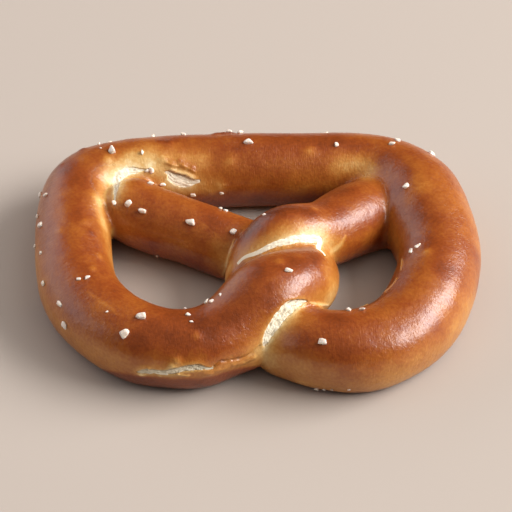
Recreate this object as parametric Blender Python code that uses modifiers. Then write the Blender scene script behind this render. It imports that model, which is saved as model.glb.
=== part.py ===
"""Soft pretzel: one rope of dough, wound twice round itself in a knot, its two ends pressed into the back corners.

Units are metres and +Z is up. The rope lies on z = 0 and the origin is under the middle of the bounding box.
+Y points from the knot at the front to the bow at the back, and +X to the right of someone facing the knot.
"""

import math

import bmesh
import bpy
import numpy as np

WIDTH = 0.162  # outer width of the pretzel, side to side
DEPTH = 0.127  # outer depth, knot to bow
ROPE = 0.0275  # usual thickness of the dough rope

HALF_X = (WIDTH - ROPE) / 2  # from the middle to the rope's centre line at each side
HALF_Y = (DEPTH - ROPE) / 2  # from the middle to the centre line of the bow

# The rope's centre line, from the middle of the bow round each loop and through the knot to the end of the arm.
# A station is (right, back, height, thickness): right and back are shares of HALF_X and HALF_Y, and the height of
# the centre and the thickness are shares of ROPE.
LEFT_HALF = [
    (0.00, 0.98, 0.45, 0.97),  # middle of the bow
    (-0.37, 0.97, 0.45, 0.98),
    (-0.71, 0.92, 0.45, 0.98),
    (-0.93, 0.78, 0.45, 1.00),  # back corner
    (-1.00, 0.46, 0.45, 1.00),
    (-0.99, 0.04, 0.45, 1.01),  # side of the loop
    (-0.95, -0.32, 0.45, 1.01),
    (-0.83, -0.64, 0.45, 1.01),
    (-0.65, -0.86, 0.45, 1.01),
    (-0.44, -0.96, 0.45, 1.01),  # front of the loop
    (-0.22, -0.92, 0.49, 1.01),
    (-0.06, -0.77, 0.65, 1.01),  # climbs over the other half
    (0.09, -0.59, 0.81, 1.03),
    (0.22, -0.45, 0.73, 0.95),  # turns round the far side of the knot
    (0.25, -0.23, 0.51, 0.87),
    (0.10, 0.02, 0.35, 0.83),  # passes under the other half
    (-0.14, 0.15, 0.40, 0.86),
    (-0.37, 0.28, 0.46, 0.85),  # arm
    (-0.60, 0.42, 0.49, 0.87),
    (-0.81, 0.61, 0.54, 0.88),  # end, pressed into the back corner
]
RIGHT_HALF = [
    (0.00, 0.98, 0.45, 0.97),  # middle of the bow
    (0.37, 1.00, 0.45, 0.98),
    (0.70, 0.95, 0.45, 1.00),
    (0.86, 0.72, 0.44, 1.17),  # back corner
    (0.93, 0.40, 0.44, 1.20),
    (0.98, 0.02, 0.45, 1.11),  # side of the loop
    (0.94, -0.33, 0.45, 1.10),
    (0.84, -0.65, 0.45, 1.09),
    (0.66, -0.90, 0.45, 1.06),
    (0.46, -0.98, 0.45, 1.05),  # front of the loop
    (0.27, -0.92, 0.44, 0.98),
    (0.13, -0.74, 0.36, 0.94),  # dives under the other half
    (0.03, -0.50, 0.35, 0.87),
    (0.01, -0.24, 0.51, 0.87),  # turns round the near side of the knot
    (0.13, -0.06, 0.80, 0.91),  # passes over the other half
    (0.32, 0.10, 0.67, 0.87),
    (0.50, 0.36, 0.50, 0.95),  # arm
    (0.61, 0.52, 0.36, 0.97),
    (0.72, 0.68, 0.20, 0.86),  # end, buried in the back corner
]

# The rope's section, as shares of its thickness.
SECTION_SIDES = 32
SECTION_TOP = 0.47  # centre to crown
SECTION_BOTTOM = 0.50  # centre to underside
SECTION_SQUARENESS = 2.5  # superellipse power of the lower half, where the dough sags on the tray
END_ROUNDING = 0.4 * ROPE  # length over which each end closes
END_START = 0.02  # share of END_ROUNDING where the end's flat tip lies

POINT_SPACING = ROPE / 14
FUSING_VOXEL = ROPE / 25
FUSING_PASSES = 6
SOLID_TRIANGLES = 8200
WELD_DISTANCE = 1e-6
CRUST_COLOUR = (0.36, 0.115, 0.035, 1.0)
CRUST_ROUGHNESS = 0.35


def clear_scene():
    for obj in list(bpy.data.objects):
        bpy.data.objects.remove(obj)


def new_collection(name, hidden=False):
    collection = bpy.data.collections.new(name)
    collection.hide_render = hidden
    bpy.context.scene.collection.children.link(collection)
    return collection


def crust_material():
    material = bpy.data.materials.new("crust")
    material.use_nodes = True
    shader = material.node_tree.nodes["Principled BSDF"]
    shader.inputs["Base Color"].default_value = CRUST_COLOUR
    shader.inputs["Roughness"].default_value = CRUST_ROUGHNESS
    shader.inputs["Metallic"].default_value = 0.0
    return material


def station_row(station):
    right, back, height, thickness = station
    return (right * HALF_X, back * HALF_Y, height * ROPE, thickness * ROPE)


def smooth_route(rows, spacing):
    """Rows about `spacing` apart on the natural cubic spline through the given rows (x, y, z, ...)."""
    rows = np.array(rows, float)
    gaps = np.linalg.norm(np.diff(rows[:, :3], axis=0), axis=1)
    knots = np.concatenate([[0.0], np.cumsum(gaps)])
    system = np.eye(len(rows))
    target = np.zeros_like(rows)
    for i in range(1, len(rows) - 1):
        before, after = gaps[i - 1], gaps[i]
        system[i, i - 1 : i + 2] = before, 2 * (before + after), after
        target[i] = 6 * ((rows[i + 1] - rows[i]) / after - (rows[i] - rows[i - 1]) / before)
    bend = np.linalg.solve(system, target)
    along = np.linspace(0.0, knots[-1], round(knots[-1] / spacing) + 1)
    span = np.clip(np.searchsorted(knots, along, side="right") - 1, 0, len(gaps) - 1)
    gap = gaps[span][:, None]
    past = (along - knots[span])[:, None]
    left = gap - past
    straight = rows[span] * left / gap + rows[span + 1] * past / gap
    curl_left = bend[span] * (left**3 / gap - gap * left) / 6
    curl_right = bend[span + 1] * (past**3 / gap - gap * past) / 6
    return straight + curl_left + curl_right


def end_taper(route):
    """A factor for the thickness that closes both ends of the rope with a round cap."""
    steps = np.linalg.norm(np.diff(route[:, :3], axis=0), axis=1)
    along = np.concatenate([[0.0], np.cumsum(steps)])
    inwards = np.minimum(along, along[-1] - along) / END_ROUNDING
    return np.sqrt(1.0 - (1.0 - np.clip(inwards, END_START, 1.0)) ** 2)


def closed_curve(name, points, collection):
    """A closed POLY curve in its own XY plane, used as a bevel profile."""
    data = bpy.data.curves.new(name, "CURVE")
    data.dimensions = "2D"
    data.fill_mode = "NONE"
    spline = data.splines.new("POLY")
    spline.points.add(len(points) - 1)
    for point, (x, y) in zip(spline.points, points):
        point.co = (x, y, 0.0, 1.0)
    spline.use_cyclic_u = True
    obj = bpy.data.objects.new(name, data)
    collection.objects.link(obj)
    return obj


def section_outline():
    """The rope's section for a thickness of 1: round on top, squarer and a little flattened underneath."""
    points = []
    for i in range(SECTION_SIDES):
        angle = 2 * math.pi * i / SECTION_SIDES
        across, up = math.cos(angle), math.sin(angle)
        if up >= 0:
            points.append((0.5 * across, SECTION_TOP * up))
        else:
            power = 2 / SECTION_SQUARENESS
            x = math.copysign(abs(across) ** power, across)
            points.append((0.5 * x, -SECTION_BOTTOM * abs(up) ** power))
    return points


def rope_curve(route, profile, collection):
    """The rope as a curve that carries the profile, upright all the way and scaled by the thickness."""
    data = bpy.data.curves.new("rope_guide", "CURVE")
    data.dimensions = "3D"
    data.twist_mode = "Z_UP"
    data.bevel_mode = "OBJECT"
    data.bevel_object = profile
    data.use_fill_caps = True
    spline = data.splines.new("POLY")
    spline.points.add(len(route) - 1)
    for point, (x, y, z, _), radius in zip(spline.points, route, route[:, 3] * end_taper(route)):
        point.co = (x, y, z, 1.0)
        point.radius = radius
    obj = bpy.data.objects.new("rope_guide", data)
    collection.objects.link(obj)
    return obj


def mesh_from_curve(curve_object, name, collection):
    """A welded mesh object in place of a curve object."""
    graph = bpy.context.evaluated_depsgraph_get()
    mesh = bpy.data.meshes.new_from_object(curve_object.evaluated_get(graph))
    mesh.name = name
    welded = bmesh.new()
    welded.from_mesh(mesh)
    bmesh.ops.remove_doubles(welded, verts=welded.verts, dist=WELD_DISTANCE)
    bmesh.ops.recalc_face_normals(welded, faces=welded.faces)
    welded.to_mesh(mesh)
    welded.free()
    obj = bpy.data.objects.new(name, mesh)
    obj.matrix_world = curve_object.matrix_world
    collection.objects.link(obj)
    bpy.data.objects.remove(curve_object)
    return obj


def tray_cutter(collection):
    """A block whose top face is the tray: what is left of the dough rests flat on z = 0."""
    mesh = bpy.data.meshes.new("tray_cutter")
    block = bmesh.new()
    bmesh.ops.create_cube(block, size=1.0)
    block.to_mesh(mesh)
    block.free()
    obj = bpy.data.objects.new("tray_cutter", mesh)
    obj.scale = (2 * WIDTH, 2 * DEPTH, ROPE)
    obj.location = (0.0, 0.0, -ROPE / 2)
    obj.hide_render = True
    obj.display_type = "WIRE"
    collection.objects.link(obj)
    return obj


def fuse(obj, cutter):
    """Joins the rope to itself where it crosses and touches, softens the creases and flattens the underside."""
    remesh = obj.modifiers.new("one_body", "REMESH")
    remesh.mode = "VOXEL"
    remesh.voxel_size = FUSING_VOXEL
    soften = obj.modifiers.new("soft_creases", "SMOOTH")
    soften.iterations = FUSING_PASSES
    bpy.context.view_layer.update()
    evaluated = obj.evaluated_get(bpy.context.evaluated_depsgraph_get())
    fine_quads = len(evaluated.data.polygons)
    lighten = obj.modifiers.new("fewer_faces", "DECIMATE")
    lighten.ratio = SOLID_TRIANGLES / (2 * fine_quads)
    flatten = obj.modifiers.new("flat_underside", "BOOLEAN")
    flatten.operation = "DIFFERENCE"
    flatten.solver = "EXACT"
    flatten.object = cutter


def main():
    clear_scene()
    parts = new_collection("soft_pretzel")
    helpers = new_collection("helpers", hidden=True)
    rows = [station_row(s) for s in LEFT_HALF[:0:-1] + RIGHT_HALF]
    route = smooth_route(rows, POINT_SPACING)
    profile = closed_curve("rope_section", section_outline(), helpers)
    guide = rope_curve(route, profile, helpers)
    pretzel = mesh_from_curve(guide, "pretzel", parts)
    pretzel.data.materials.append(crust_material())
    pretzel.data.shade_smooth()
    fuse(pretzel, tray_cutter(helpers))


main()
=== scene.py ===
"""The looks of the soft pretzel: browned crust, torn pale splits and coarse salt, on a plain floor in soft light.

Units are metres and +Z is up, as in the frame. A place on the dough rope is (along, around): along counts in
metres from the end of the left arm, through the knot, the left loop, the bow and the right loop, to the end of the
right arm. Around is the angle in degrees round the rope: 0 faces the inside of the loops, 90 is up and 180 is out.
"""

import math

import bmesh
import bpy
import numpy as np
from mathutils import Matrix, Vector
from mathutils.bvhtree import BVHTree


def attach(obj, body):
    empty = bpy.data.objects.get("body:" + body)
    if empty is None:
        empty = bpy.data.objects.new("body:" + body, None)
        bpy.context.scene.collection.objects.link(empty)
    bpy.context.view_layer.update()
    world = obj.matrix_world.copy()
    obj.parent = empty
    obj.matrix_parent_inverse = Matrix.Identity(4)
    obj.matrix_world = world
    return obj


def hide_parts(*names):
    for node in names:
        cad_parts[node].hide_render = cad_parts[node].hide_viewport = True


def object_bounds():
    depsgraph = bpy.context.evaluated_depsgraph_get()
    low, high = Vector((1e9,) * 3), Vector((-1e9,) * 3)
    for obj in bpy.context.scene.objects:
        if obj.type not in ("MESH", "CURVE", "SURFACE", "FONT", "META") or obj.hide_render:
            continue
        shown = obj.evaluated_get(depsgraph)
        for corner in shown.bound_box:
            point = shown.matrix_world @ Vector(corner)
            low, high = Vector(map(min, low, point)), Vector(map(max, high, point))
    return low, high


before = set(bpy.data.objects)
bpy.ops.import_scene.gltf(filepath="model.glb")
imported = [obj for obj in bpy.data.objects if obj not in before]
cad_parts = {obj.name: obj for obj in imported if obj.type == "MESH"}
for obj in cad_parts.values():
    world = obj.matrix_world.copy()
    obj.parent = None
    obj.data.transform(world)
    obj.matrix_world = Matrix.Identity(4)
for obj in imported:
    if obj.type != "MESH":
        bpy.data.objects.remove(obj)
cad_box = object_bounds()

MM = 0.001

# The rope of the solid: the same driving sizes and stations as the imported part.
ROPE = 0.0275
HALF_X = (0.162 - ROPE) / 2
HALF_Y = (0.127 - ROPE) / 2
LEFT_HALF = [
    (0.00, 0.98, 0.45, 0.97),  # middle of the bow
    (-0.37, 0.97, 0.45, 0.98),
    (-0.71, 0.92, 0.45, 0.98),
    (-0.93, 0.78, 0.45, 1.00),  # back corner
    (-1.00, 0.46, 0.45, 1.00),
    (-0.99, 0.04, 0.45, 1.01),  # side of the loop
    (-0.95, -0.32, 0.45, 1.01),
    (-0.83, -0.64, 0.45, 1.01),
    (-0.65, -0.86, 0.45, 1.01),
    (-0.44, -0.96, 0.45, 1.01),  # front of the loop
    (-0.22, -0.92, 0.49, 1.01),
    (-0.06, -0.77, 0.65, 1.01),  # climbs over the other half
    (0.09, -0.59, 0.81, 1.03),
    (0.22, -0.45, 0.73, 0.95),  # turns round the far side of the knot
    (0.25, -0.23, 0.51, 0.87),
    (0.10, 0.02, 0.35, 0.83),  # passes under the other half
    (-0.14, 0.15, 0.40, 0.86),
    (-0.37, 0.28, 0.46, 0.85),  # arm
    (-0.60, 0.42, 0.49, 0.87),
    (-0.81, 0.61, 0.54, 0.88),  # end, pressed into the back corner
]
RIGHT_HALF = [
    (0.00, 0.98, 0.45, 0.97),  # middle of the bow
    (0.37, 1.00, 0.45, 0.98),
    (0.70, 0.95, 0.45, 1.00),
    (0.86, 0.72, 0.44, 1.17),  # back corner
    (0.93, 0.40, 0.44, 1.20),
    (0.98, 0.02, 0.45, 1.11),  # side of the loop
    (0.94, -0.33, 0.45, 1.10),
    (0.84, -0.65, 0.45, 1.09),
    (0.66, -0.90, 0.45, 1.06),
    (0.46, -0.98, 0.45, 1.05),  # front of the loop
    (0.27, -0.92, 0.44, 0.98),
    (0.13, -0.74, 0.36, 0.94),  # dives under the other half
    (0.03, -0.50, 0.35, 0.87),
    (0.01, -0.24, 0.51, 0.87),  # turns round the near side of the knot
    (0.13, -0.06, 0.80, 0.91),  # passes over the other half
    (0.32, 0.10, 0.67, 0.87),
    (0.50, 0.36, 0.50, 0.95),  # arm
    (0.61, 0.52, 0.36, 0.97),
    (0.72, 0.68, 0.20, 0.86),  # end, buried in the back corner
]
SECTION_TOP = 0.47
SECTION_BOTTOM = 0.50
SECTION_SQUARENESS = 2.5
END_ROUNDING = 0.4 * ROPE

# How finely the crust is made.
ROUTE_STEP = 1.0 * MM
SECTION_SIDES = 96
CRUST_VOXEL = 0.95 * MM
CREASE_REACH = 32 * MM  # two places closer than this along the rope never form a crease
LINE_STEP = 0.15 * MM

# Tears in the crust. Each has a line of (along in mm, around, width in mm), how deep the crumb lies in it in mm, how
# far the lips left and right of the line stand up in mm, how porous the crumb is (its pores and low lumps darkened
# with painted shade) and how dark it is, how much deeper it lies under the left lip and how much painted shade darkens
# it there, and how far the pale crust reaches to the left and right of it in mm.
TEARS = [
    (
        [
            (128, 182, 1.2),
            (126, 172, 3.2),
            (123, 166, 4.2),
            (119, 162, 5.4),
            (116, 161, 5.6),
            (113, 162, 5.5),
            (111, 163, 4.2),
            (108, 165, 2.4),
            (106, 167, 0.6),
        ],
        (0.0, (0.1, 0.0), 0.7, 0.05, 0.0, (1.2, 2.6)),
    ),
    (
        [
            (544, 126, 0.4),
            (547, 106, 0.6),
            (549, 88, 0.8),
            (552, 70, 1.1),
            (555, 57, 1.5),
            (558, 45, 2.2),
            (561, 38, 2.7),
            (564, 32, 2.8),
            (567, 27, 2.0),
            (91, 110, 1.8),
            (93, 118, 1.3),
            (94, 122, 0.6),
        ],
        (-0.1, (0.0, 0.1), 0.2, 0.03, 0.0, (5.5, 2.0)),
    ),
    (
        [
            (9, 38, 0.6),
            (6, 61, 1.6),
            (4, 80, 2.4),
            (2, 104, 3.0),
            (0, 126, 3.3),
            (274, 46, 3.0),
            (277, 45, 2.0),
            (281, 44, 0.6),
        ],
        (-0.1, (0.0, 0.1), 0.5, 0.03, 0.0, (4.5, 4.0)),
    ),
    (
        [
            (288, 38, 0.6),
            (290, 36, 2.1),
            (291, 31, 3.5),
            (294, 24, 4.5),
            (297, 21, 4.2),
            (299, 21, 2.3),
            (302, 22, 0.6),
        ],
        (0.1, (0.5, 0.0), 0.35, 0.0, 0.6, (4.0, 4.5)),
    ),
    (
        [
            (161, 185, 0.8),
            (159, 180, 2.3),
            (157, 177, 1.6),
            (154, 176, 1.9),
            (152, 173, 2.9),
            (150, 169, 2.1),
            (147, 167, 2.6),
            (145, 168, 1.9),
            (144, 171, 1.3),
            (142, 174, 0.6),
        ],
        (0.1, (0.3, 0.2), 0.7, 0.25, 0.4, (1.6, 1.6)),
    ),
]

# Folds in the crust, or ridges where the depth is below zero: a line of (along in mm, around, width in mm), how deep
# it is in mm and how much paler.
FOLDS = [
    ([(142, 172, 0.7), (140, 166, 0.9), (139, 168, 0.9), (136, 174, 0.9), (134, 178, 0.8), (129, 175, 0.8)], 0.8, 0.0),
    ([(144, 182, 2.4), (141, 182, 3.2), (138, 183, 3.4), (135, 186, 3.0), (132, 187, 2.0)], -0.55, 0.06),
    ([(52, -28, 0.6), (53, 3, 0.8), (53, 23, 0.7), (53, 40, 0.5), (53, 56, 0.5)], -0.15, 0.5),
    ([(95, 123, 1.4), (90, 136, 2.0), (574, 8, 2.2), (577, 24, 1.2)], -0.1, 0.35),
    ([(105, 171, 0.9), (103, 177, 1.3), (100, 188, 1.1), (97, 200, 0.6)], -0.3, 0.55),
    ([(38, 69, 0.4), (44, 60, 0.5), (49, 48, 0.4)], 0.03, 0.12),
    ([(186, 105, 0.8), (180, 104, 1.4), (175, 104, 1.5), (172, 108, 0.8)], -0.05, 0.15),
    ([(437, 31, 0.5), (442, 38, 0.9), (447, 42, 0.6)], -0.45, 0.45),
    ([(453, 45, 0.6), (458, 42, 0.9), (462, 37, 0.6)], -0.45, 0.45),
    ([(472, 24, 0.8), (475, 27, 1.2), (478, 30, 0.7)], -0.6, 0.6),
    ([(312, 84, 0.6), (317, 80, 0.9), (322, 78, 0.5)], 0.15, 0.0),
    ([(289, 52, 0.5), (292, 47, 0.9), (295, 46, 0.5)], -0.5, 0.1),
    ([(294, 50, 0.5), (297, 43, 0.9), (300, 36, 0.5)], -0.5, 0.1),
    ([(158, 172, 0.5), (156, 181, 0.8), (155, 186, 0.5)], -0.5, 0.45),
    ([(152, 167, 0.6), (151, 176, 0.9), (148, 180, 0.6)], -0.6, 0.45),
]

# Soft swellings, dents and blisters: (along in mm, around, reach in mm, height in mm, how much darker the crust is).
SPOTS = [
    (110, 140, 11.0, 1.2, 0.0),
    (106, 96, 12.0, -1.4, 0.0),
    (322, 112, 12.0, 0.9, 0.0),
    (284, 112, 8.0, -0.5, 0.0),
    (511, 195, 6.5, 1.5, 0.0),
    (493, 205, 9.0, -0.9, 0.0),
    (138, 200, 8.0, -1.1, 0.0),
    (156, 205, 10.0, -0.9, 0.0),
    (283, 82, 9.0, 1.2, 0.0),
    (238, 50, 7.0, 0.8, 0.0),
    (266, 72, 1.8, 0.30, -0.20),
    (196, 73, 1.6, 0.35, -0.25),
    (145, 120, 1.8, 0.45, -0.25),
    (569, 92, 1.4, 0.30, -0.20),
    (108, 87, 2.0, 0.30, -0.25),
    (438, 75, 1.8, 0.25, -0.20),
    (343, 67, 2.4, 0.35, -0.18),
    (313, 54, 1.9, 0.30, -0.18),
    (219, 111, 1.7, 0.35, -0.20),
    (223, 69, 1.7, 0.30, -0.15),
    (218, 60, 1.8, 0.30, 0.20),
    (205, 50, 1.7, 0.30, -0.20),
    (1, 80, 2.2, 0.30, -0.12),
    (26, -4, 3.0, 0.25, 0.10),
    (310, 12, 2.0, 0.25, -0.20),
    (306, 1, 1.5, 0.20, -0.15),
    (151, 155, 1.3, 0.80, -0.25),
    (152, 164, 1.2, 0.70, -0.25),
    (160, 186, 1.5, 0.70, -0.25),
    (290, 93, 1.6, 0.40, 0.15),
    (287, 98, 1.2, 0.35, 0.15),
    (288, 58, 1.6, 0.60, -0.05),
    (291, 50, 1.5, 0.60, 0.15),
    (294, 55, 1.4, 0.60, 0.12),
    (296, 47, 1.5, 0.60, 0.15),
    (299, 43, 1.2, 0.50, 0.15),
    (308, 130, 1.6, 0.60, 0.15),
    (311, 132, 1.8, 0.70, 0.15),
    (314, 131, 1.3, 0.50, 0.15),
    (262, 128, 1.8, 0.50, 0.10),
    (254, 132, 1.6, 0.50, 0.10),
]

# Patches of darker crust, or paler below zero: a chain of (along in mm, around, reach in mm) and how much darker.
# Most are the crust's own uneven baking; those marked below are painted shade or painted highlight.
PATCHES = [
    ([(553, 128, 5.0), (560, 116, 5.5), (564, 94, 5.0), (567, 75, 4.5)], 0.20),
    ([(113, 87, 5.0), (110, 92, 5.5), (107, 97, 5.5), (103, 106, 5.0), (100, 114, 4.0)], 0.17),
    ([(575, 108, 4.5), (583, 107, 5.0), (592, 104, 4.5)], 0.13),
    ([(121, 97, 5.0), (119, 117, 6.0), (118, 130, 4.0)], 0.07),
    ([(162, 138, 6.0), (155, 127, 7.0), (147, 118, 7.0), (138, 117, 6.0), (131, 112, 5.0)], 0.08),
    ([(151, 80, 5.0), (143, 88, 6.0)], 0.07),
    ([(500, 134, 5.0), (496, 137, 6.0), (490, 137, 6.0), (483, 135, 5.0)], 0.04),
    ([(497, 70, 3.5), (492, 88, 3.5)], 0.09),
    ([(413, 66, 5.0), (421, 76, 7.0), (431, 84, 6.0)], 0.12),
    ([(446, 105, 3.0), (447, 113, 3.0), (443, 118, 3.0)], 0.10),
    ([(382, 97, 5.0), (388, 97, 5.0), (394, 104, 5.0)], 0.07),
    ([(348, 80, 4.5), (356, 82, 5.0), (364, 78, 4.5)], 0.08),
    ([(320, 95, 6.0), (338, 100, 6.0), (352, 100, 6.0)], 0.06),
    ([(311, 80, 1.6), (317, 77, 1.6)], 0.07),
    ([(252, 111, 3.2), (255, 107, 3.0)], 0.13),
    ([(248, 77, 5.0), (236, 74, 6.0), (227, 78, 5.0)], 0.07),
    ([(41, 82, 3.0), (46, 82, 3.0)], 0.07),
    ([(375, 70, 4.5), (384, 64, 5.0), (390, 66, 4.5)], 0.09),
    # Painted shade: the lower inner flank of the left arm, with some of its real dark rim.
    ([(10, -8, 5.0), (25, -10, 5.0), (42, -12, 5.0)], 0.20),
    # Painted shade: the lower inner flank of the right arm.
    ([(578, -10, 4.0), (586, -12, 5.0), (594, -12, 5.0), (601, 0, 4.0)], 0.22),
    # Painted shade: the bow's lower front, above the shaded middle hole.
    ([(298, -12, 5.0), (320, -14, 5.0), (345, -14, 5.0), (360, -8, 5.0)], 0.22),
    ([(352, 40, 4.0), (358, 40, 4.5), (364, 37, 4.5), (371, 33, 4.0)], -0.20),
    ([(603, 10, 4.0), (598, -8, 5.0)], 0.15),
    ([(604, 80, 3.5), (603, 40, 3.5)], 0.06),
    ([(541, 165, 2.5), (543, 150, 2.0)], -0.22),
    ([(385, 85, 4.0), (388, 89, 4.0)], -0.09),
    ([(404, 66, 5.0), (402, 90, 6.0), (397, 112, 5.0)], -0.08),
    ([(406, 138, 5.0), (421, 138, 6.0), (430, 147, 6.0)], -0.07),
    ([(441, 160, 6.0), (452, 169, 7.0), (462, 173, 7.0), (469, 171, 6.0)], -0.05),
    ([(504, 97, 4.0), (505, 116, 5.0), (507, 142, 6.0), (509, 170, 6.0)], -0.18),
    ([(98, 135, 3.5), (98, 156, 4.5), (97, 182, 5.0)], -0.13),
    ([(569, 58, 4.0), (569, 35, 4.5), (572, 14, 4.0)], -0.12),
    # Paler: the left loop's inner shoulder, partly its real pale crust, partly a painted highlight.
    ([(238, 46, 3.0), (232, 40, 3.0), (226, 33, 3.5)], -0.32),
    ([(218, 24, 4.0), (212, 17, 4.0)], -0.16),
    ([(585, 25, 4.5), (593, 22, 4.5)], 0.12),
    ([(12, 0, 3.5), (9, 20, 3.0)], 0.12),
    ([(5, 92, 4.0), (8, 65, 4.0)], -0.12),
    ([(552, 85, 3.0), (548, 100, 2.5)], -0.13),
    ([(293, 13, 3.0), (298, 4, 3.0), (303, 2, 3.0)], -0.09),
    ([(47, 45, 2.5), (49, 24, 2.5)], -0.06),
    # Paler: the bow above the back-left splits, partly the pale crust round them, partly a painted sheen.
    ([(277, 72, 4.0), (284, 67, 5.0), (292, 64, 5.0), (301, 57, 4.0)], -0.26),
    ([(271, 55, 4.0), (266, 60, 4.0), (248, 48, 4.0), (240, 44, 4.0)], -0.13),
    ([(283, 45, 3.0), (287, 30, 3.0)], -0.15),
    ([(0, 126, 3.0), (271, 62, 3.0), (276, 57, 3.5), (281, 53, 3.5)], -0.14),
    ([(52, 38, 3.5), (53, 10, 3.5), (53, -15, 3.0)], -0.18),
    ([(356, 52, 4.0), (363, 50, 4.0), (370, 46, 4.0)], -0.13),
    ([(280, 50, 3.0), (286, 48, 3.5)], -0.15),
]

# Salt grains: (along in mm, around, length in mm, heading of the length in degrees from +X).
SALT = [
    (267, 130, 1.6, 90),
    (266, 104, 0.9, 0),
    (269, 87, 3.1, -52),
    (280, 73, 1.9, 90),
    (281, 42, 1.7, 30),
    (283, 42, 2.4, 80),
    (14, 125, 2.4, -5),
    (287, 19, 2.6, 5),
    (297, 15, 2.1, 45),
    (299, -3, 2.1, 20),
    (8, 42, 2.0, -70),
    (13, 54, 3.1, 55),
    (19, 51, 3.0, 0),
    (37, 59, 3.5, -8),
    (43, 125, 1.7, -70),
    (45, 122, 1.8, -20),
    (310, -1, 1.6, 10),
    (52, 70, 2.4, 50),
    (320, 88, 3.5, 20),
    (296, 130, 2.1, 0),
    (313, 132, 2.3, 10),
    (317, 130, 2.4, 60),
    (242, 140, 2.4, -20),
    (235, 158, 2.1, 95),
    (228, 146, 2.3, 80),
    (214, 149, 1.5, 80),
    (26, -38, 1.4, 60),
    (558, 123, 1.4, 0),
    (202, 157, 2.5, 110),
    (191, 150, 2.5, 100),
    (186, 168, 3.0, 105),
    (192, 90, 2.3, 30),
    (193, 103, 1.6, 0),
    (164, 96, 3.7, 0),
    (166, 130, 3.5, 40),
    (175, 112, 1.1, 0),
    (147, 77, 1.8, -60),
    (146, 94, 1.4, 0),
    (133, 50, 2.3, 45),
    (131, 60, 1.9, 30),
    (126, 60, 1.5, 60),
    (148, 42, 1.0, 0),
    (353, 80, 2.0, 90),
    (373, 98, 2.5, -10),
    (373, 119, 2.0, 15),
    (399, 62, 3.0, 55),
    (436, 48, 2.3, 75),
    (434, 57, 2.6, 30),
    (108, 113, 3.1, -5),
    (488, 57, 2.2, -50),
    (482, 63, 2.5, -10),
    (496, 128, 3.4, -8),
    (497, 224, 1.6, 10),
    (495, 221, 1.1, 0),
    (493, 216, 1.1, 0),
    (489, 208, 1.0, 0),
    (350, 147, 2.1, 20),
    (329, 156, 2.8, 70),
    (285, 151, 2.4, 140),
    (301, 168, 1.7, 35),
    (382, 142, 2.6, 100),
    (247, 166, 2.3, 80),
    (271, 147, 1.9, 10),
    (223, 172, 1.7, 45),
]


# ---------------------------------------------------------------- numbers and noise


def smoothstep(low, high, value):
    t = np.clip((value - low) / (high - low), 0.0, 1.0)
    return t * t * (3 - 2 * t)


def lattice_value(ix, iy, iz, seed):
    """A repeatable random number in -1..1 for each point of a whole-number lattice."""
    n = (ix * 374761393 + iy * 668265263 + iz * 1440662683 + seed * 974634777) & 0xFFFFFFFF
    n = ((n ^ (n >> 13)) * 1274126177) & 0xFFFFFFFF
    n = n ^ (n >> 16)
    return (n & 0xFFFFFF) / 0x7FFFFF - 1.0


def noise(points, size, seed):
    """Smooth noise in -1..1 with features about `size` across, at each row of `points`."""
    q = np.asarray(points, float) / size
    cell = np.floor(q).astype(np.int64)
    f = q - cell
    f = f * f * f * (f * (f * 6 - 15) + 10)
    total = np.zeros(len(q))
    for dx in (0, 1):
        for dy in (0, 1):
            for dz in (0, 1):
                weight = (
                    np.abs(1 - dx - f[:, 0]) * np.abs(1 - dy - f[:, 1]) * np.abs(1 - dz - f[:, 2])
                )
                corner = lattice_value(cell[:, 0] + dx, cell[:, 1] + dy, cell[:, 2] + dz, seed)
                total += weight * corner
    return total


def rough(points, size, seed, octaves=3):
    """Noise with finer and finer layers, in about -1..1."""
    total = np.zeros(len(points))
    for k in range(octaves):
        total += noise(points, size / 2**k, seed + 17 * k) / 2**k
    return total / 1.5


# ---------------------------------------------------------------- the rope


def station_row(station):
    right, back, height, thickness = station
    return (right * HALF_X, back * HALF_Y, height * ROPE, thickness * ROPE)


def smooth_route(rows, spacing):
    """Rows about `spacing` apart on the natural cubic spline through the given rows."""
    rows = np.array(rows, float)
    gaps = np.linalg.norm(np.diff(rows[:, :3], axis=0), axis=1)
    knots = np.concatenate([[0.0], np.cumsum(gaps)])
    system = np.eye(len(rows))
    target = np.zeros_like(rows)
    for i in range(1, len(rows) - 1):
        before, after = gaps[i - 1], gaps[i]
        system[i, i - 1 : i + 2] = before, 2 * (before + after), after
        target[i] = 6 * ((rows[i + 1] - rows[i]) / after - (rows[i] - rows[i - 1]) / before)
    bend = np.linalg.solve(system, target)
    along = np.linspace(0.0, knots[-1], round(knots[-1] / spacing) + 1)
    span = np.clip(np.searchsorted(knots, along, side="right") - 1, 0, len(gaps) - 1)
    gap = gaps[span][:, None]
    past = (along - knots[span])[:, None]
    left = gap - past
    straight = rows[span] * left / gap + rows[span + 1] * past / gap
    curl_left = bend[span] * (left**3 / gap - gap * left) / 6
    curl_right = bend[span + 1] * (past**3 / gap - gap * past) / 6
    return straight + curl_left + curl_right


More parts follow.
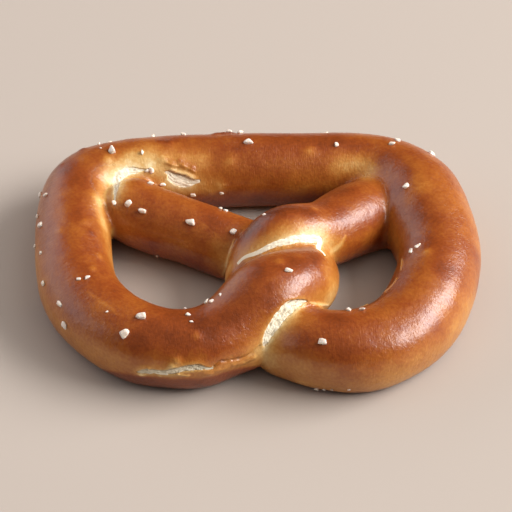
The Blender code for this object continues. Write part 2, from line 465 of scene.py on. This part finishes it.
class Rope:
    """The rope's centre line with its thickness and an upright frame at every step."""

    def __init__(self, rows):
        route = smooth_route(rows, ROUTE_STEP)
        self.centre = route[:, :3]
        self.thickness = route[:, 3]
        steps = np.linalg.norm(np.diff(self.centre, axis=0), axis=1)
        self.along = np.concatenate([[0.0], np.cumsum(steps)])
        self.length = self.along[-1]
        ahead = np.gradient(self.centre, axis=0)
        self.ahead = ahead / np.linalg.norm(ahead, axis=1)[:, None]
        side = np.cross(self.ahead, (0.0, 0.0, 1.0))
        self.side = side / np.linalg.norm(side, axis=1)[:, None]
        self.up = np.cross(self.side, self.ahead)

    def at(self, along, table):
        """The value of one of the rope's tables at any distance along it."""
        table = table if table.ndim > 1 else table[:, None]
        return np.stack([np.interp(along, self.along, column) for column in table.T], axis=-1)

    def tube(self):
        """Vertices and quads of the plain rope, round on top, squarer underneath, with rounded ends."""
        inwards = np.minimum(self.along, self.length - self.along) / END_ROUNDING
        taper = np.sqrt(1.0 - (1.0 - np.clip(inwards, 0.02, 1.0)) ** 2)
        angle = np.arange(SECTION_SIDES) * 2 * math.pi / SECTION_SIDES
        across, up = np.cos(angle), np.sin(angle)
        power = 2 / SECTION_SQUARENESS
        squared = np.sign(across) * np.abs(across) ** power
        x = 0.5 * np.where(up >= 0, across, squared)
        y = np.where(up >= 0, SECTION_TOP * up, -SECTION_BOTTOM * np.abs(up) ** power)
        size = (self.thickness * taper)[:, None, None]
        rings = self.centre[:, None] + size * (
            x[None, :, None] * self.side[:, None] + y[None, :, None] * self.up[:, None]
        )
        n, m = rings.shape[:2]
        i, j = np.meshgrid(np.arange(n - 1), np.arange(m), indexing="ij")
        k = (j + 1) % m
        quads = np.stack([i * m + j, i * m + k, (i + 1) * m + k, (i + 1) * m + j], axis=-1).reshape(-1, 4)
        ends = [list(range(m))[::-1], list(range((n - 1) * m, n * m))]
        return rings.reshape(-1, 3), quads[:, ::-1].tolist() + [end[::-1] for end in ends]

    def nearest(self, points):
        """Where each point lies on the rope: along, around in degrees, and how far it is from any other stretch."""
        along = np.empty(len(points))
        other = np.empty(len(points))
        radius = self.thickness * 0.49
        for start in range(0, len(points), 2000):
            chunk = points[start : start + 2000]
            gap = np.sqrt(
                np.maximum(
                    (chunk**2).sum(1)[:, None]
                    + (self.centre**2).sum(1)[None]
                    - 2 * chunk @ self.centre.T,
                    0.0,
                )
            )
            gap -= radius[None]
            best = gap.argmin(axis=1)
            here = self.along[best]
            near = np.abs(self.along[None] - here[:, None]) < CREASE_REACH
            along[start : start + 2000] = here
            other[start : start + 2000] = np.where(near, 1.0, gap).min(axis=1)
        offset = points - self.at(along, self.centre)
        flat = (offset * self.at(along, self.side)).sum(1)
        rise = (offset * self.at(along, self.up)).sum(1)
        return along, np.degrees(np.arctan2(rise, flat)), other


# ---------------------------------------------------------------- meshes


def mesh_object(name, vertices, faces, material=None):
    mesh = bpy.data.meshes.new(name)
    mesh.from_pydata(np.asarray(vertices).tolist(), [], [list(face) for face in faces])
    mesh.validate()
    mesh.shade_smooth()
    if material:
        mesh.materials.append(material)
    obj = bpy.data.objects.new(name, mesh)
    bpy.context.scene.collection.objects.link(obj)
    return obj


def coordinates(mesh):
    co = np.empty(len(mesh.vertices) * 3, np.float32)
    mesh.vertices.foreach_get("co", co)
    return co.reshape(-1, 3).astype(float)


def set_coordinates(mesh, points):
    mesh.vertices.foreach_set("co", points.astype(np.float32).ravel())
    mesh.update()


def normals(mesh):
    values = np.empty(len(mesh.vertices) * 3, np.float32)
    mesh.vertex_normals.foreach_get("vector", values)
    return values.reshape(-1, 3).astype(float)


def relax(points, edges, passes, amount):
    """Laplacian smoothing: each point moves by `amount`, one number each, towards its neighbours' mean."""
    a, b = edges[:, 0], edges[:, 1]
    count = np.bincount(a, minlength=len(points)) + np.bincount(b, minlength=len(points))
    for _ in range(passes):
        mean = np.stack(
            [
                np.bincount(a, points[b, k], len(points)) + np.bincount(b, points[a, k], len(points))
                for k in range(3)
            ],
            axis=1,
        )
        mean /= count[:, None]
        points = points + (mean - points) * amount[:, None]
    return points


def edge_pairs(mesh):
    pairs = np.empty(len(mesh.edges) * 2, np.int32)
    mesh.edges.foreach_get("vertices", pairs)
    return pairs.reshape(-1, 2)


def applied_remesh(obj, voxel):
    """The object's mesh joined into one skin by a voxel remesh."""
    modifier = obj.modifiers.new("one_skin", "REMESH")
    modifier.mode = "VOXEL"
    modifier.voxel_size = voxel
    bpy.context.view_layer.update()
    mesh = bpy.data.meshes.new_from_object(obj.evaluated_get(bpy.context.evaluated_depsgraph_get()))
    obj.modifiers.remove(modifier)
    old = obj.data
    obj.data = mesh
    bpy.data.meshes.remove(old)


def attribute(mesh, name, values, kind="FLOAT"):
    layer = mesh.attributes.new(name, kind, "POINT")
    field = "value" if kind == "FLOAT" else "vector"
    layer.data.foreach_set(field, np.asarray(values, np.float32).ravel())


# ---------------------------------------------------------------- places on the dough


def unit(vectors):
    return vectors / np.linalg.norm(vectors, axis=-1, keepdims=True)


class Skin:
    """The crust's surface, for finding places on it."""

    def __init__(self, mesh, rope):
        self.rope = rope
        self.tree = BVHTree.FromPolygons(
            [v.co for v in mesh.vertices], [p.vertices for p in mesh.polygons], epsilon=0.0
        )

    def place(self, along, around):
        """The point and normal where a line out of the rope's middle leaves the dough."""
        rope = self.rope
        centre, side, up = (rope.at(along * MM, table) for table in (rope.centre, rope.side, rope.up))
        turn = math.radians(around)
        out = math.cos(turn) * side + math.sin(turn) * up
        point, normal, _, _ = self.tree.ray_cast(Vector(centre), Vector(out))
        return np.array(point), np.array(normal)

    def onto(self, points):
        """The nearest points of the surface, and its normals there."""
        found = [self.tree.find_nearest(Vector(p)) for p in points]
        return np.array([f[0] for f in found]), np.array([f[1] for f in found])


def mellow(rows, distance):
    """Rows of a line averaged over a distance each side."""
    reach = round(distance / LINE_STEP)
    padded = np.concatenate([rows[:1].repeat(reach, 0), rows, rows[-1:].repeat(reach, 0)])
    total = np.cumsum(np.concatenate([np.zeros((1, rows.shape[1])), padded]), axis=0)
    window = 2 * reach + 1
    return (total[window:] - total[:-window]) / window


class Line:
    """A line on the crust through places (along in mm, around, width in mm), level between its two edges."""

    def __init__(self, skin, places, margin=0.0):
        rows = [(*skin.place(along, around)[0], width * MM / 2 + margin) for along, around, width in places]
        route = smooth_route(rows, LINE_STEP)
        middle, normal = skin.onto(route[:, :3])
        ahead = unit(np.gradient(mellow(middle, 1.0 * MM), axis=0))
        side = unit(np.cross(mellow(normal, 2.5 * MM), ahead)) * np.maximum(route[:, 3], 0.1 * MM)[:, None]
        left, _ = skin.onto(middle + side)
        right, _ = skin.onto(middle - side)
        self.middle = mellow((left + right) / 2, 0.75 * MM)
        self.half = mellow(np.linalg.norm(left - right, axis=1)[:, None] / 2, 0.75 * MM)[:, 0]
        ahead = unit(np.gradient(self.middle, axis=0))
        self.side = unit(mellow(left - right, 0.75 * MM))
        self.normal = unit(np.cross(ahead, self.side))
        self.side = np.cross(self.normal, ahead)

    def locate(self, points, normal, reach):
        """The points near the line: indices, nearest row, distance across it, and past its ends or bends."""
        low, high = self.middle.min(0) - reach, self.middle.max(0) + reach
        near = np.nonzero(((points > low) & (points < high)).all(1))[0]
        gap = np.linalg.norm(points[near][:, None] - self.middle[None], axis=2)
        row = gap.argmin(axis=1)
        kept = (gap.min(axis=1) < reach) & ((normal[near] * self.normal[row]).sum(1) > -0.1)
        near, row = near[kept], row[kept]
        offset = points[near] - self.middle[row]
        across = (offset * self.side[row]).sum(1)
        height = (offset * self.normal[row]).sum(1)
        past = np.sqrt(np.maximum((offset**2).sum(1) - across**2 - height**2, 0.0))
        return near, row, across, np.maximum(past - 0.2 * MM, 0.0), np.linalg.norm(offset, axis=1)


def refine(mesh, chosen):
    """Splits every edge whose two ends are chosen, so that finer relief fits there."""
    work = bmesh.new()
    work.from_mesh(mesh)
    work.verts.ensure_lookup_table()
    edges = [e for e in work.edges if chosen[e.verts[0].index] and chosen[e.verts[1].index]]
    bmesh.ops.subdivide_edges(work, edges=edges, cuts=1, use_grid_fill=True)
    work.to_mesh(mesh)
    work.free()


# ---------------------------------------------------------------- materials


def new_material(name):
    material = bpy.data.materials.new(name)
    material.use_nodes = True
    nodes = material.node_tree.nodes
    return material, nodes, material.node_tree.links, nodes["Principled BSDF"]


def ramp_node(nodes, colours):
    ramp = nodes.new("ShaderNodeValToRGB")
    stops = ramp.color_ramp.elements
    while len(stops) < len(colours):
        stops.new(0.5)
    for stop, (place, colour) in zip(stops, colours):
        stop.position = place
        stop.color = (*colour, 1.0)
    return ramp


def attribute_node(nodes, name):
    node = nodes.new("ShaderNodeAttribute")
    node.attribute_name = name
    return node


def noise_node(nodes, links, vector, scale, detail):
    node = nodes.new("ShaderNodeTexNoise")
    node.inputs["Scale"].default_value = scale
    node.inputs["Detail"].default_value = detail
    links.new(vector, node.inputs["Vector"])
    return node.outputs["Fac"]


def scaled_vector(nodes, links, vector, scale):
    node = nodes.new("ShaderNodeVectorMath")
    node.operation = "MULTIPLY"
    node.inputs[1].default_value = scale
    links.new(vector, node.inputs[0])
    return node.outputs[0]


def bump_node(nodes, links, height, distance, strength, before=None):
    node = nodes.new("ShaderNodeBump")
    node.inputs["Distance"].default_value = distance
    node.inputs["Strength"].default_value = strength
    links.new(height, node.inputs["Height"])
    if before:
        links.new(before, node.inputs["Normal"])
    return node.outputs["Normal"]


def map_range(nodes, links, value, low, high, new_low, new_high):
    node = nodes.new("ShaderNodeMapRange")
    for name, number in (("From Min", low), ("From Max", high), ("To Min", new_low), ("To Max", new_high)):
        node.inputs[name].default_value = number
    links.new(value, node.inputs["Value"])
    return node.outputs["Result"]


def add_node(nodes, links, first, second):
    node = nodes.new("ShaderNodeMath")
    node.operation = "ADD"
    links.new(first, node.inputs[0])
    links.new(second, node.inputs[1])
    return node.outputs[0]


def crust_material():
    material, nodes, links, shader = new_material("crust")
    solid = nodes.new("ShaderNodeTexCoord").outputs["Object"]
    strand = attribute_node(nodes, "strand").outputs["Vector"]
    # This attribute is the crust's baked tone, with painted shade under the arms, the bow and low inside the loops,
    # and painted highlight in two pale patches.
    bake_and_painted_light = attribute_node(nodes, "bake_and_painted_light").outputs["Fac"]
    mottle = noise_node(nodes, links, solid, 900.0, 3.0)
    bake_and_painted_light = add_node(nodes, links, bake_and_painted_light, map_range(nodes, links, mottle, 0.3, 0.7, -0.05, 0.05))
    ramp = ramp_node(
        nodes,
        [
            (0.00, (0.90, 0.82, 0.62)),
            (0.12, (0.82, 0.65, 0.36)),
            (0.28, (0.66, 0.39, 0.13)),
            (0.45, (0.50, 0.205, 0.040)),
            (0.62, (0.36, 0.102, 0.014)),
            (0.78, (0.245, 0.050, 0.008)),
            (1.00, (0.10, 0.018, 0.004)),
        ],
    )
    links.new(bake_and_painted_light, ramp.inputs["Fac"])
    links.new(ramp.outputs["Color"], shader.inputs["Base Color"])
    wrinkles = noise_node(nodes, links, scaled_vector(nodes, links, strand, (1.8, 0.45, 1.0)), 1.0, 2.0)
    grain = noise_node(nodes, links, solid, 1500.0, 2.0)
    pitted = noise_node(nodes, links, solid, 350.0, 2.0)
    bumps = bump_node(nodes, links, wrinkles, 0.12 * MM, 1.0)
    bumps = bump_node(nodes, links, pitted, 0.18 * MM, 1.0, bumps)
    bumps = bump_node(nodes, links, grain, 0.06 * MM, 1.0, bumps)
    links.new(bumps, shader.inputs["Normal"])
    links.new(map_range(nodes, links, bake_and_painted_light, 0.15, 0.55, 0.46, 0.29), shader.inputs["Roughness"])
    shader.inputs["Specular IOR Level"].default_value = 0.6
    return material


def crumb_material():
    material, nodes, links, shader = new_material("crumb")
    # The tone is the crumb's own grey, with painted shade in its pores and under the tears' left lips.
    tone = attribute_node(nodes, "tone").outputs["Fac"]
    ramp = ramp_node(nodes, [(0.0, (0.90, 0.82, 0.64)), (0.5, (0.62, 0.53, 0.38)), (1.0, (0.34, 0.28, 0.19))])
    links.new(tone, ramp.inputs["Fac"])
    links.new(ramp.outputs["Color"], shader.inputs["Base Color"])
    shader.inputs["Roughness"].default_value = 0.85
    shader.inputs["Specular IOR Level"].default_value = 0.2
    return material


def salt_material():
    material, nodes, links, shader = new_material("salt")
    solid = nodes.new("ShaderNodeTexCoord").outputs["Object"]
    cloudy = noise_node(nodes, links, solid, 900.0, 2.0)
    ramp = ramp_node(nodes, [(0.35, (0.84, 0.75, 0.66)), (0.70, (0.72, 0.61, 0.50))])
    links.new(cloudy, ramp.inputs["Fac"])
    links.new(ramp.outputs["Color"], shader.inputs["Base Color"])
    shader.inputs["Roughness"].default_value = 0.5
    shader.inputs["Subsurface Weight"].default_value = 0.4
    shader.inputs["Subsurface Radius"].default_value = (1.0, 0.8, 0.6)
    shader.inputs["Subsurface Scale"].default_value = 0.8 * MM
    return material


def floor_material():
    material, nodes, links, shader = new_material("floor")
    shader.inputs["Base Color"].default_value = (0.445, 0.378, 0.327, 1.0)
    shader.inputs["Roughness"].default_value = 0.75
    return material


# ---------------------------------------------------------------- the crust


def make_base(rope):
    """The plain dough: the rope fused to itself where it crosses and touches, with a flat underside."""
    vertices, faces = rope.tube()
    crust = mesh_object("crust", vertices, faces)
    applied_remesh(crust, CRUST_VOXEL)
    points = coordinates(crust.data)
    edges = edge_pairs(crust.data)
    points = relax(points, edges, 2, np.full(len(points), 0.5))
    _, _, other = rope.nearest(points)
    crease = 1 - smoothstep(0.5 * MM, 4 * MM, other)
    points = relax(points, edges, 6, 0.5 * crease)
    pressed = 1 - smoothstep(14 * MM, 24 * MM, np.linalg.norm(points - rope.centre[-1], axis=1))
    points = relax(points, edges, 60, 0.5 * pressed * (1 - smoothstep(1 * MM, 8 * MM, other)))
    points[:, 2] = 0.5 * (points[:, 2] + np.sqrt(points[:, 2] ** 2 + (0.3 * MM) ** 2))
    set_coordinates(crust.data, points)
    return crust


class Relief:
    """The crust's vertices with how far each moves, which way, and how much paler or darker the crust is there, some
    of the darker and paler patches being painted shade and painted highlight.
    """

    def __init__(self, mesh):
        self.points = coordinates(mesh)
        self.normal = normals(mesh)
        self.shift = np.zeros_like(self.points)
        self.pale = np.zeros(len(self.points))
        self.brown = np.zeros(len(self.points))

    def unevenness(self):
        lumps = 0.35 * rough(self.points, 20 * MM, 3, 2) + 0.10 * rough(self.points, 6 * MM, 4, 2)
        self.shift += self.normal * (lumps * MM)[:, None]

    def spot(self, skin, along, around, reach, height, browner, seed):
        centre, up = skin.place(along, around)
        offset = self.points - centre
        distance = np.linalg.norm(offset, axis=1)
        near = np.nonzero((distance < 2.5 * reach * MM) & (self.normal @ up > 0.1))[0]
        warp = 1 + 0.3 * rough(self.points[near], 1.2 * reach * MM, seed, 2)
        amount = np.exp(-((distance[near] * warp / (reach * MM)) ** 2))
        self.shift[near] += self.normal[near] * (height * MM * amount)[:, None]
        self.brown[near] += browner * amount

    def patch(self, skin, places, browner, seed):
        """Darker or paler crust round a chain of places, with an uneven soft edge."""
        spots = [(*skin.place(along, around), reach * MM) for along, around, reach in places]
        amount = np.zeros(len(self.points))
        for (first, first_up, first_reach), (last, last_up, last_reach) in zip(spots, spots[1:] or spots):
            step = last - first
            offset = self.points - first
            share = np.clip(offset @ step / max(step @ step, 1e-12), 0, 1)
            reach = first_reach + share * (last_reach - first_reach)
            away = np.linalg.norm(offset - share[:, None] * step, axis=1) / reach
            near = np.nonzero((away < 2.5) & (self.normal @ (first_up + last_up) > 0))[0]
            warp = 1 + 0.35 * rough(self.points[near], 6 * MM, seed, 3)
            amount[near] = np.maximum(amount[near], np.exp(-((away[near] * warp) ** 2)))
        self.brown += browner * amount

    def fold(self, line, depth, paler, seed):
        near, row, across, past, distance = line.locate(self.points, self.normal, 5 * MM)
        off = np.hypot(across, past) / line.half[row]
        amount = np.exp(-(off**2)) * (1 + 0.5 * noise(self.points[near], 1.5 * MM, seed))
        self.shift[near] -= line.normal[row] * (depth * MM * amount)[:, None]
        self.pale[near] = np.maximum(self.pale[near], paler * np.exp(-((0.8 * off) ** 2)))

    def tear(self, line, depth, lips, porous, dark, shaded, halos, seed):
        near, row, across, past, distance = line.locate(self.points, self.normal, 16 * MM)
        half = line.half[row]
        fray = 0.35 * MM * rough(self.points[near], 1.8 * MM, seed, 2) * smoothstep(0.3 * MM, 1.0 * MM, half)
        beyond = np.hypot(np.maximum(np.abs(across) - half, 0), past)
        inside = np.where(past > 0, -beyond, half - np.abs(across)) + fray
        wide = smoothstep(0.2 * MM, 1.2 * MM, half)
        sink = smoothstep(-0.1 * MM, 0.35 * MM, inside) * (0.5 + (max(depth, 0.0) + 0.7) * wide) * MM
        lip = np.where(across > 0, lips[0], lips[1]) * MM * wide
        lip *= np.exp(-(((inside + 0.6 * MM) / (0.8 * MM)) ** 2)) * (inside < 0)
        self.shift[near] += line.normal[row] * (lip - sink)[:, None]
        to_left = smoothstep(-1.0 * MM, 1.0 * MM, across)
        halo = (to_left * halos[0] + (1 - to_left) * halos[1]) * MM
        away = np.maximum(distance - half, 0.0)
        away *= 1 + 0.3 * rough(self.points[near], 4 * MM, seed + 5, 2)
        glow = 0.35 * np.exp(-away / (0.9 * MM)) + 0.48 * np.exp(-((away / halo) ** 2))
        glow *= (0.4 + 0.6 * wide) * np.clip(halo / (3 * MM), 0, 1)
        self.pale[near] = np.maximum(self.pale[near], glow)


def near_lines(points, normal, lines, margin):
    chosen = np.zeros(len(points), bool)
    for line in lines:
        near, row, across, past, _ = line.locate(points, normal, 6 * MM)
        chosen[near] |= (np.abs(across) < line.half[row] + margin) & (past < margin)
    return chosen


def hollows(points, normal, edges):
    """How far each point lies in a hollow of a few millimetres, in metres; ridges come out below zero."""
    smooth = relax(points, edges, 40, np.full(len(points), 0.6))
    return ((smooth - points) * normal).sum(1)


def browning_and_painted_light(points, normal, hollow, along, around, relief):
    """How dark each point of the crust is, from 0, cream, to 1, nearly black: its baked tone, plus painted shade low
    on the inner flanks and along the bottom rim, and the patches' painted shade and painted highlight.
    """
    brown = 0.495 + 0.235 * smoothstep(-0.2, 0.9, normal[:, 2])
    brown += 0.09 * rough(points, 16 * MM, 3, 3) + 0.07 * rough(points, 5 * MM, 5, 3)
    brown += relief.brown
    brown -= 0.45 * smoothstep(0.3 * MM, 1.6 * MM, hollow)
    brown *= 1 - np.clip(relief.pale, 0, 1)
    height = points[:, 2] + 0.4 * MM * noise(points, 5 * MM, 8)
    # Painted shade: darker low down on the flanks that face into the loops, where the holes are in shade; a little of
    # it is the darker underside crust.
    inside = smoothstep(0.0, 0.8, np.cos(np.radians(around)))
    brown += 0.20 * inside * (1 - smoothstep(3 * MM, 13 * MM, height))
    # Darker along the bottom rim, strongest and reaching higher at the front of the left loop: partly the real dark
    # underside crust, partly painted shade where the rim meets the floor.
    front = smoothstep(118 * MM, 140 * MM, along) * (1 - smoothstep(155 * MM, 185 * MM, along))
    brown += (0.25 + 0.10 * front) * (1 - smoothstep(0.5 * MM, 3.0 * MM, height - 8.5 * MM * front))
    return brown


def make_crust(rope):
    crust = make_base(rope)
    mesh = crust.data
    skin = Skin(mesh, rope)
    tears = [Line(skin, places) for places, _ in TEARS]
    folds = [Line(skin, places) for places, _, _ in FOLDS]
    for lines, margin in ((tears + folds, 2.0 * MM), (tears, 0.9 * MM)):
        refine(mesh, near_lines(coordinates(mesh), normals(mesh), lines, margin))
    relief = Relief(mesh)
    relief.points = relax(relief.points, edge_pairs(mesh), 1, np.full(len(relief.points), 0.3))
    hollow = hollows(relief.points, relief.normal, edge_pairs(mesh))
    relief.unevenness()
    for i, row in enumerate(SPOTS):
        relief.spot(skin, *row, seed=300 + i)
    for i, (places, browner) in enumerate(PATCHES):
        relief.patch(skin, places, browner, seed=700 + 11 * i)
    for i, (line, (_, depth, paler)) in enumerate(zip(folds, FOLDS)):
        relief.fold(line, depth, paler, seed=200 + i)
    for i, (line, (_, looks)) in enumerate(zip(tears, TEARS)):
        relief.tear(line, *looks, seed=40 + 7 * i)
    points = np.clip(relief.points + relief.shift, *np.array(cad_box, float))
    set_coordinates(mesh, points)
    mesh.shade_smooth()
    along, around, _ = rope.nearest(points)
    # The crust's darkness map, with its painted shade and painted highlight.
    attribute(mesh, "bake_and_painted_light", browning_and_painted_light(points, relief.normal, hollow, along, around, relief))
    girth = np.radians((around + 90) % 360) * ROPE / 2
    attribute(mesh, "strand", np.stack([along, girth, np.zeros(len(along))], axis=1) / MM, "FLOAT_VECTOR")
    mesh.materials.clear()
    mesh.materials.append(crust_material())
    return crust, tears, skin


def ribbon(line, depth, lips, porous, dark, shaded, halos, seed):
    """A closed strip of torn crumb that fills a tear: vertices, faces and how dark each vertex is, with painted shade
    in the pores and under the left lip.
    """
    half = line.half + 0.35 * MM
    columns = max(9, 2 * round(half.max() / LINE_STEP) + 1)
    v = np.linspace(-1.25, 1.25, columns)
    base = line.middle[:, None] + line.side[:, None] * (half[:, None] * v)[..., None]
    flat = base.reshape(-1, 3)
    run = np.arange(len(half)) * LINE_STEP
    strands = np.stack([np.repeat(0.35 * run, columns), (half[:, None] * v).ravel(), 0 * flat[:, 0]], axis=1)
    lumps = rough(flat, 1.8 * MM, seed + 1, 2)
    fibres = noise(strands, 0.5 * MM, seed + 4)
    pores = smoothstep(0.15, 0.6, noise(strands, 0.45 * MM, seed + 2))
    small = smoothstep(0.2, 0.6, noise(flat, 0.4 * MM, seed + 3))
    rise = (0.25 * lumps + 0.10 * fibres - porous * (0.30 * pores + 0.15 * small)) * MM
    # Painted shade: the crumb is darker in its pores and low lumps, where its surface dips.
    tone = dark + porous * np.clip(0.45 * pores + 0.25 * small - 0.15 * fibres - 0.20 * lumps, 0, 1)
    # Painted shade under the left lip, where it overhangs the crumb; the same mask also sinks the crumb there.
    under_lip_shade = shaded * np.tile(smoothstep(0.15, 0.85, v), len(half))
    tone += under_lip_shade
    rise -= 0.8 * MM * under_lip_shade
    bowl = np.sqrt(np.clip(1 - v**2, 0, 1))[None]
    drop = 5.0 * np.maximum(np.abs(v) - 1, 0)[None] * half[:, None]
    wide = smoothstep(0.2 * MM, 1.0 * MM, line.half)[:, None]
    height = (rise.reshape(base.shape[:2]) - depth * MM * bowl) * wide - 0.1 * MM - drop
    top = base + line.normal[:, None] * height[..., None]
    bottom = base - line.normal[:, None] * (2.6 * MM)
    n, m = top.shape[:2]
    i, j = np.meshgrid(np.arange(n - 1), np.arange(m - 1), indexing="ij")
    quads = np.stack([i * m + j, i * m + j + 1, (i + 1) * m + j + 1, (i + 1) * m + j], axis=-1).reshape(-1, 4)
    under = quads[:, ::-1] + n * m
    rim = [*range(m), *(k * m + m - 1 for k in range(1, n)), *((n - 1) * m + j for j in range(m - 2, -1, -1))]
    rim += [k * m for k in range(n - 2, 0, -1)]
    wall = [(b, a, a + n * m, b + n * m) for a, b in zip(rim, rim[1:] + rim[:1])]
    faces = quads.tolist() + under.tolist() + wall
    return np.concatenate([top.reshape(-1, 3), bottom.reshape(-1, 3)]), faces, np.concatenate([tone, tone])


def joined(pieces):
    """Vertices, faces and one value a vertex of several meshes, as one."""
    vertices, faces, values = [], [], []
    start = 0
    for points, polygons, value in pieces:
        vertices.append(points)
        faces += [[k + start for k in face] for face in polygons]
        values.append(value)
        start += len(points)
    return np.concatenate(vertices), faces, np.concatenate(values)


def face_outwards(mesh):
    work = bmesh.new()
    work.from_mesh(mesh)
    bmesh.ops.recalc_face_normals(work, faces=work.faces)
    work.to_mesh(mesh)
    work.free()


def make_crumb(tears):
    ribbons = [ribbon(line, *looks, seed=40 + 7 * i) for i, (line, (_, looks)) in enumerate(zip(tears, TEARS))]
    vertices, faces, tones = joined(ribbons)
    crumb = mesh_object("crumb", vertices, faces, crumb_material())
    face_outwards(crumb.data)
    attribute(crumb.data, "tone", tones)
    return crumb


def crystal(length, seed):
    """A worn crystal of a given length along X: a ball cut by a few planes, with soft edges. Vertices and faces."""
    draw = np.random.default_rng(seed)
    work = bmesh.new()
    bmesh.ops.create_icosphere(work, subdivisions=3, radius=1.0)
    ball = np.array([v.co for v in work.verts])
    faces = [[v.index for v in face.verts] for face in work.faces]
    work.free()
    box = np.concatenate([np.eye(3), -np.eye(3)])
    planes = unit(np.concatenate([box + draw.normal(size=(6, 3)) * 0.25, draw.normal(size=(6, 3))]))
    offsets = draw.uniform(0.72, 1.0, len(planes))
    cuts = np.maximum(ball @ planes.T / offsets, 0.0)
    points = ball / ((cuts**9).sum(axis=1) ** (1 / 9))[:, None]
    points *= (0.5, draw.uniform(0.29, 0.38), draw.uniform(0.24, 0.32))
    points *= length / np.ptp(points[:, 0])
    dents = [noise(points, 0.6 * MM, seed + k) for k in range(3)]
    return points + 0.05 * MM * np.stack(dents, axis=1), faces


def make_salt(crust, rope):
    skin = Skin(crust.data, rope)
    draw = np.random.default_rng(5)
    grains = []
    for i, (along, around, length, heading) in enumerate(SALT):
        points, faces = crystal(length * MM, 500 + i)
        place, up = skin.place(along, around)
        up = unit(up + 0.15 * draw.normal(size=3))
        turn = math.radians(heading)
        ahead = np.array([math.cos(turn), math.sin(turn), 0.0])
        ahead = unit(ahead - (ahead @ up) * up)
        axes = np.stack([ahead, np.cross(up, ahead), up])
        points = points @ axes + place + up * 0.13 * length * MM
        grains.append((points, faces, np.zeros(len(points))))
    vertices, faces, _ = joined(grains)
    return mesh_object("salt", vertices, faces, salt_material())


# ---------------------------------------------------------------- stage


def direction(azimuth, elevation):
    """A unit vector: azimuth 0 is +Y, the back, and 90 is +X."""
    azimuth, elevation = math.radians(azimuth), math.radians(elevation)
    level = math.cos(elevation)
    return Vector((level * math.sin(azimuth), level * math.cos(azimuth), math.sin(elevation)))


def soft_light(name, azimuth, elevation, distance, size, radiance, colour):
    """A rectangular light that faces the object, as bright as `radiance` where it is seen in a mirror."""
    data = bpy.data.lights.new(name, "AREA")
    data.shape = "RECTANGLE"
    data.size, data.size_y = size
    data.energy = math.pi * data.size * data.size_y * radiance
    data.color = colour
    light = bpy.data.objects.new(name, data)
    towards = direction(azimuth, elevation)
    light.location = distance * towards
    light.rotation_euler = towards.to_track_quat("Z", "Y").to_euler()
    bpy.context.scene.collection.objects.link(light)
    return light


def make_floor():
    half = 3.0
    corners = [(-half, -half, 0), (half, -half, 0), (half, half, 0), (-half, half, 0)]
    floor = mesh_object("floor", np.array(corners) - (0, 0, 0.05 * MM), [(0, 1, 2, 3)], floor_material())


def make_camera():
    elevation = math.radians(42)
    distance = 1.0
    aim = Vector((-0.0004, -0.0020, 0.0141))
    data = bpy.data.cameras.new("camera")
    data.lens = 194.7
    data.sensor_width = 36.0
    camera = bpy.data.objects.new("camera", data)
    camera.location = aim + distance * Vector((0.0, -math.cos(elevation), math.sin(elevation)))
    camera.rotation_euler = (aim - camera.location).to_track_quat("-Z", "Y").to_euler()
    bpy.context.scene.collection.objects.link(camera)
    bpy.context.scene.camera = camera


def make_lights():
    soft_light("key", 87, 34, 3.0, (2.6, 1.5), 13.0, (1.0, 1.0, 1.0))
    soft_light("key_halo", 86, 46, 3.2, (4.4, 3.4), 0.7, (1.0, 0.96, 0.92))
    soft_light("fill", -64, 18, 2.0, (3.2, 1.8), 1.35, (0.98, 0.95, 1.0))
    sky = soft_light("sky", 0, 90, 2.5, (4.0, 4.0), 0.45, (1.0, 0.97, 0.94))
    sky.visible_glossy = False
    world = bpy.data.worlds.new("studio")
    world.use_nodes = True
    background = world.node_tree.nodes["Background"]
    background.inputs["Color"].default_value = (1.0, 0.96, 0.92, 1.0)
    background.inputs["Strength"].default_value = 0.20
    world.cycles_visibility.glossy = False
    bpy.context.scene.world = world
    bpy.context.scene.view_settings.view_transform = "Standard"


# ---------------------------------------------------------------- everything

rope = Rope([station_row(s) for s in LEFT_HALF[:0:-1] + RIGHT_HALF])
crust, tears, skin = make_crust(rope)
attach(crust, "root")
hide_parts("pretzel")
crumb = make_crumb(tears)
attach(crumb, "root")
salt = make_salt(crust, rope)
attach(salt, "root")
make_floor()
make_camera()
make_lights()
